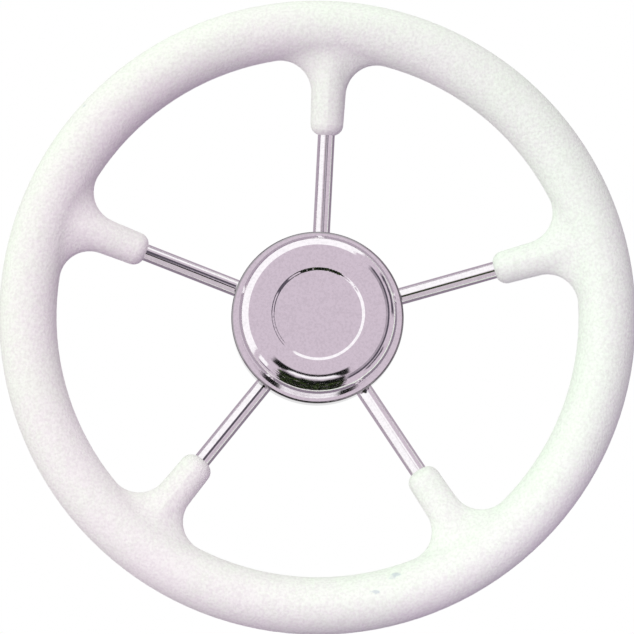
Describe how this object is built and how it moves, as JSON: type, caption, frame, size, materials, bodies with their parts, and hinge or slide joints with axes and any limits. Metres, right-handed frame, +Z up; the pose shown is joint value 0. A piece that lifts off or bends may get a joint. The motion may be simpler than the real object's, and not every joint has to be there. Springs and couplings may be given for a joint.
{
  "type": "boat steering wheel",
  "caption": "Boat steering wheel with a soft moulded grip, polished rod spokes and a domed cap over the shaft nut.",
  "frame": {"origin": "centre of the shaft bore at the rear face of the hub's boss", "axes": "+Y along the shaft towards the helm, so the wheel faces -Y; +Z up along the first spoke"},
  "size_m": [0.35, 0.0623, 0.35],
  "materials": {
    "foam": "soft off-white skin with a fine grain",
    "steel_tube": "plain drawn tube",
    "polished_rod": "mirror polished",
    "polished_shell": "mirror polished",
    "turned_steel": "turned",
    "chromed_cap": "mirror polished",
    "seal": "plain"
  },
  "bodies": {
    "wheel": {"rim_grip": "foam", "rim_core": "steel_tube", "spoke_1": "polished_rod", "spoke_2": "polished_rod", "spoke_3": "polished_rod", "spoke_4": "polished_rod", "spoke_5": "polished_rod", "hub_shell": "polished_shell", "hub_boss": "turned_steel"},
    "cap": {"hub_cap": "chromed_cap", "cap_seal": "seal"}
  },
  "joints": [
    {"name": "cap_pull", "type": "slide", "parent": "wheel", "child": "cap", "axis": [0, -1, 0], "range_m": [0, 0.03]}
  ]
}
